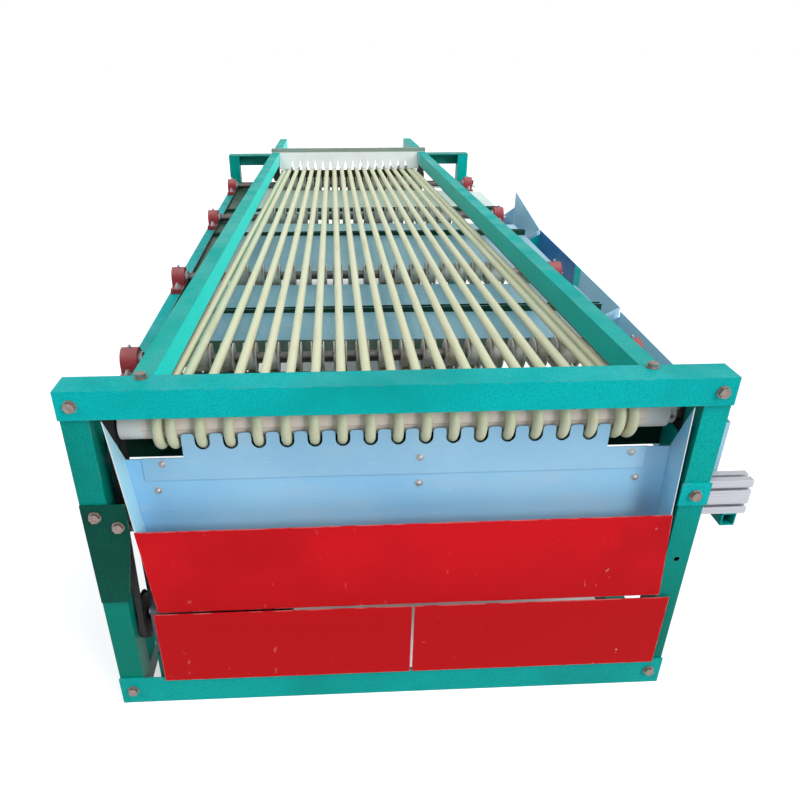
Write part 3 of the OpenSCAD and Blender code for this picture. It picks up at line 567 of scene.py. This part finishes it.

# Red panels: an apron and two lower panels of sheet steel that close the front, screwed to the frame.
# Bright red paint, a little wavy and with painted shade low down, with white scuffs to the right and pale
# rubbed edges.
red_paint = Paint("red_paint", specular=0.06)
red_wave = red_paint.noise(6.0, 4.0)
red_face = red_paint.mix(red_paint.ramp(red_wave, 0.35, 0.7), srgb(212, 21, 32), srgb(192, 19, 27))
# Painted shade: the red darkens towards the floor.
shaded = red_paint.ramp(red_paint.part(red_paint.place, 2), 0.42, 0.2)
red_face = red_paint.mix(shaded, red_face, srgb(187, 18, 23))
scuff = red_paint.ramp(red_paint.noise(48.0, 6.0, (1.0, 1.0, 0.5)), 0.69, 0.74)
right_side = red_paint.ramp(red_paint.part(red_paint.place, 0), 0.30, 0.47)
red_face = red_paint.mix(scuff * (0.1 + right_side * 0.6), red_face, srgb(238, 214, 212))
red_rub = red_paint.edge(0.003) * red_paint.ramp(red_paint.noise(30.0, 4.0), 0.4, 0.6)
red_paint.give("Base Color", red_paint.mix(red_rub * 0.6, red_face, srgb(236, 180, 176)))
red_paint.give("Roughness", 0.32 + red_paint.noise(24.0, 3.0) * 0.15)
red_paint.bump(red_wave + red_paint.noise(220.0, 2.0) * 0.05, 0.003, 0.3, 0.001)
coat(red_paint, "upper_apron", "lower_panel_left", "lower_panel_right")

# Grade chutes: folded trays between the two runs of the ropes, one for each size of fruit.
# Greyish blue paint, darker at the front and paler towards the feed end, as painted shade. Front faces, left
# ends and the part of the first tray that lies round the first spools are dark green, painted shade.
# Painted shade: dark green on front faces, on the left ends and on the strip of the first tray behind the
# front beam.
chute_shade_green = srgb(26, 62, 48)
shade_band_l = 0.154
shaded_fronts = [(1, -1, chute_shade_green)]
shaded_parts = [(1, joint_at["guide_1_spin"].y + shade_band_l, chute_shade_green),
               (0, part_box("sorting_ropes")[0].x, chute_shade_green)]
# Painted shade: the trays are darker at the front and paler towards the rear.
chute_shade_tones = {
    "grade_chute_1": (srgb(146, 196, 216), srgb(130, 180, 204)),
    "grade_chute_2": (srgb(148, 198, 216), srgb(132, 182, 204)),
    "grade_chute_3": (srgb(180, 224, 236), srgb(166, 212, 226)),
    "grade_chute_4": (srgb(222, 242, 236), srgb(206, 230, 224)),
}
for node, (light, deep) in chute_shade_tones.items():
    coat(blue_sheet(node + "_paint", light, deep, shaded_fronts, shaded_parts), node)

# Side troughs: open sheet boxes along the right side that catch the fruit of each chute.
# Pale blue, a lighter copy of the front trough's paint as painted light; the rear part of the middle one is
# deep blue behind a turquoise band.
trough_light = srgb(184, 226, 248)
# Painted light: the outer troughs are lighter than the front trough's sheet.
trough_pale_lit = blue_sheet("trough_pale_lit", trough_light, srgb(166, 212, 240))
coat(trough_pale_lit, "side_trough_1", "side_trough_3")
turquoise = srgb(0, 214, 206)
band_end = joint_at["guide_2_spin"].y + 0.130
band_w = 0.060
trough_bands = [(1, band_end, turquoise), (1, band_end - band_w, trough_light)]
trough_fronts = [(1, -1, turquoise)]
trough_deep = blue_sheet("trough_deep", srgb(66, 128, 190), srgb(48, 108, 170), trough_fronts, trough_bands)
coat(trough_deep, "side_trough_2")

# Cross profile: an extruded aluminium section behind the front trough that sticks out on the right.
# Bare metal with fine lengthwise lines.
profile_metal = Paint("profile_metal", metallic=0.7)
profile_grain = profile_metal.noise(30.0, 4.0, (0.2, 14.0, 14.0))
profile_metal.give("Base Color", profile_metal.mix(profile_grain, srgb(208, 208, 214), srgb(172, 172, 180)))
profile_metal.give("Roughness", 0.32 + profile_grain * 0.2)
profile_metal.bump(profile_grain, 0.0002, 0.5, 0.0008)
coat(profile_metal, "cross_profile")

# Feed plate: a white sheet that leads the fruit down on to the ropes, with a finger over each rope.
# Its edge is held on the rails by a grey-green strip with a row of rivets.
feed_white = Paint("feed_white", specular=0.3)
feed_dirt = feed_white.ramp(feed_white.noise(12.0, 6.0), 0.45, 0.8)
feed_white.give("Base Color", feed_white.mix(feed_dirt * 0.4, srgb(206, 213, 211), srgb(172, 173, 166)))
feed_white.give("Roughness", 0.4 + feed_dirt * 0.25)
feed_white.bump(feed_white.noise(8.0, 3.0), 0.002, 0.3, 0.0008)
coat(feed_white, "feed_plate")

strip_paint = hammer_paint("strip_paint", srgb(146, 162, 153), srgb(124, 140, 131), srgb(168, 176, 167))
coat(strip_paint, "feed_strip")
strip_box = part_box("feed_strip")
rivets = bmesh.new()
rivet_shares = (0.02, 0.25, 0.5, 0.72, 0.93)
rivet_r = 0.006
rivet_h = 0.003
for share in rivet_shares:
    spot = Vector((strip_box[0].x + (strip_box[1].x - strip_box[0].x) * share,
                   (strip_box[0].y + strip_box[1].y) / 2, strip_box[1].z))
    dome(rivets, rivet_r, rivet_h, spot, up_z)
piece("strip_rivets", rivets, zinc)

# Drive: a gearmotor on a stand at the left, and a rubber belt up to the front roller.
# Grey painted castings, black pulleys and belt; the motor has a terminal box and a fan cowl.
belt_rubber = Paint("belt_rubber", specular=0.3)
belt_tone = belt_rubber.mix(belt_rubber.noise(40.0, 3.0), srgb(34, 34, 34), srgb(58, 56, 54))
belt_rubber.give("Base Color", belt_tone)
belt_rubber.give("Roughness", 0.6 + belt_rubber.noise(60.0) * 0.2)
belt_rubber.bump(belt_rubber.noise(300.0), 0.0003, 0.5, 0.0008)
coat(belt_rubber, "drive_belt")

motor_grey = black_iron("motor_grey", srgb(108, 116, 126), srgb(84, 92, 102))
coat(motor_grey, "gearmotor")
motor_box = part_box("gearmotor")
motor_axis = joint_at["motor_spin"]
gearbox_l = 0.100
motor_r = 0.054
cowl_l = 0.030
cowl_end_r = motor_r * 0.94
right_x = Vector((1, 0, 0))
cowl = bmesh.new()
cowl_at = Vector((motor_box[1].x - cowl_l, motor_axis.y, motor_axis.z))
post(cowl, motor_r, cowl_l, cowl_at, right_x, 48, cowl_end_r)
piece("motor_fan_cowl", cowl, motor_grey)

terminal = bmesh.new()
terminal_l = 0.084
terminal_d = 0.036
terminal_h = 0.070
terminal_sink = 0.012
terminal_from_gearbox = 0.080
terminal_round_r = 0.005
terminal_at = Vector((motor_box[0].x + gearbox_l + terminal_from_gearbox,
                      motor_axis.y + motor_r + terminal_d / 2 - terminal_sink, motor_axis.z))
terminal_size = Matrix.Diagonal((terminal_l, terminal_d, terminal_h, 1))
bmesh.ops.create_cube(terminal, size=1.0, matrix=Matrix.Translation(terminal_at) @ terminal_size)
bmesh.ops.bevel(terminal, geom=terminal.edges, offset=terminal_round_r, segments=3, profile=0.5,
                affect="EDGES")
piece("motor_terminal_box", terminal, motor_grey)

motor_screws = bmesh.new()
corners = [(across, height) for across in (-1, 1) for height in (-1, 1)]
lid_screw_inset = 0.008
lid_screw_x = terminal_l / 2 - lid_screw_inset
lid_screw_z = terminal_h / 2 - lid_screw_inset
lid_screw_r = 0.0035
lid_screw_h = 0.002
face_bolt_out = 0.044
face_bolt_r = 0.006
face_bolt_h = 0.005
back_y = Vector((0, 1, 0))
for across, height in corners:
    lid_spot = terminal_at + Vector((across * lid_screw_x, terminal_d / 2, height * lid_screw_z))
    dome(motor_screws, lid_screw_r, lid_screw_h, lid_spot, back_y)
    face_spot = Vector((motor_box[0].x, motor_axis.y + across * face_bolt_out,
                        motor_axis.z + height * face_bolt_out))
    post(motor_screws, face_bolt_r, face_bolt_h, face_spot, -right_x, hexagon)
piece("motor_screws", motor_screws, zinc)

hub = bmesh.new()
hub_at = Vector((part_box("motor_pulley")[0].x, motor_axis.y, motor_axis.z))
hub_r = 0.010
hub_end_r = 0.009
hub_l = 0.006
post(hub, hub_r, hub_l, hub_at, -right_x, 32, hub_end_r)
piece("pulley_hub", hub, ring_steel, "motor_drive")


# Studio: a plain pale floor that keeps the shadow, white surroundings and three soft suns.
# The world, and the floor out from under the machine, are white to the camera and in reflections.
def shown(nodes):
    """1 for rays from the camera, from a reflection or through a clear body, else 0."""
    camera_ray = nodes.node("ShaderNodeLightPath", output="Is Camera Ray")
    glossy_ray = nodes.node("ShaderNodeLightPath", output="Is Glossy Ray")
    through_ray = nodes.node("ShaderNodeLightPath", output="Is Transmission Ray")
    return camera_ray.math("MAXIMUM", glossy_ray).math("MAXIMUM", through_ray)


black = (0, 0, 0, 1)
white = (1, 1, 1, 1)
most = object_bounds()[1]
floor_mesh = bmesh.new()
floor_half = 30.0
bmesh.ops.create_grid(floor_mesh, x_segments=1, y_segments=1, size=floor_half)
floor_data = bpy.data.meshes.new("floor")
floor_mesh.to_mesh(floor_data)
floor_mesh.free()
floor = bpy.data.objects.new("floor", floor_data)
floor.location.z = -0.0005
bpy.context.scene.collection.objects.link(floor)
floor_paint = Paint("floor_paint", roughness=0.9, emission_strength=0.66)
fade_l = 0.4
beyond_x = floor_paint.ramp(abs(floor_paint.part(floor_paint.place, 0)), most.x - fade_l, most.x)
beyond_y = floor_paint.ramp(abs(floor_paint.part(floor_paint.place, 1)), most.y - fade_l, most.y)
# Painted shade: the glow that whitens the floor fades out over the machine's footprint, so the floor under
# the machine is darker.
open_floor = beyond_x.math("MAXIMUM", beyond_y)
floor_tone = floor_paint.mix(floor_paint.noise(0.4), srgb(196, 200, 202), srgb(202, 206, 208))
floor_paint.give("Base Color", floor_tone)
floor_paint.give("Emission Color", floor_paint.mix(shown(floor_paint) * open_floor, black, white))
floor_data.materials.append(floor_paint.material)

world = bpy.data.worlds.new("studio")
bpy.context.scene.world = world
world.use_nodes = True
sky = Nodes(world.node_tree)
sky_light = srgb(137, 138, 141)
plug(world.node_tree.nodes["Background"].inputs["Color"], sky.mix(shown(sky), sky_light, white))


def sun(name, strength, angle_deg, toward):
    data = bpy.data.lights.new(name, "SUN")
    data.energy = strength
    data.angle = math.radians(angle_deg)
    lamp = bpy.data.objects.new(name, data)
    lamp.rotation_euler = Vector(toward).to_track_quat("-Z", "Y").to_euler()
    bpy.context.scene.collection.objects.link(lamp)


sun("key", 1.25, 40.0, (-0.55, 0.35, -1.0))
sun("front_fill", 1.3, 20.0, (-0.7, 0.75, -0.4))
sun("left_fill", 1.1, 30.0, (0.65, 0.35, -0.75))

# Camera: above the front left of the machine, looking down along it, as in the photograph.
# Its place, tilt, lens and the shifted frame come from fitting the machine's edges to the photograph.
camera_data = bpy.data.cameras.new("camera")
camera_data.lens = 33.10
camera_data.sensor_width = 36.0
camera_data.shift_x = 0.0432
camera_data.shift_y = 0.0836
camera_data.clip_end = 100.0
camera = bpy.data.objects.new("camera", camera_data)
camera.location = (-0.19136, -2.88881, 1.27951)
camera.rotation_euler = (math.radians(90 - 30.539), 0.0, math.radians(-3.008))
bpy.context.scene.collection.objects.link(camera)
bpy.context.scene.camera = camera
bpy.context.scene.view_settings.view_transform = "Standard"
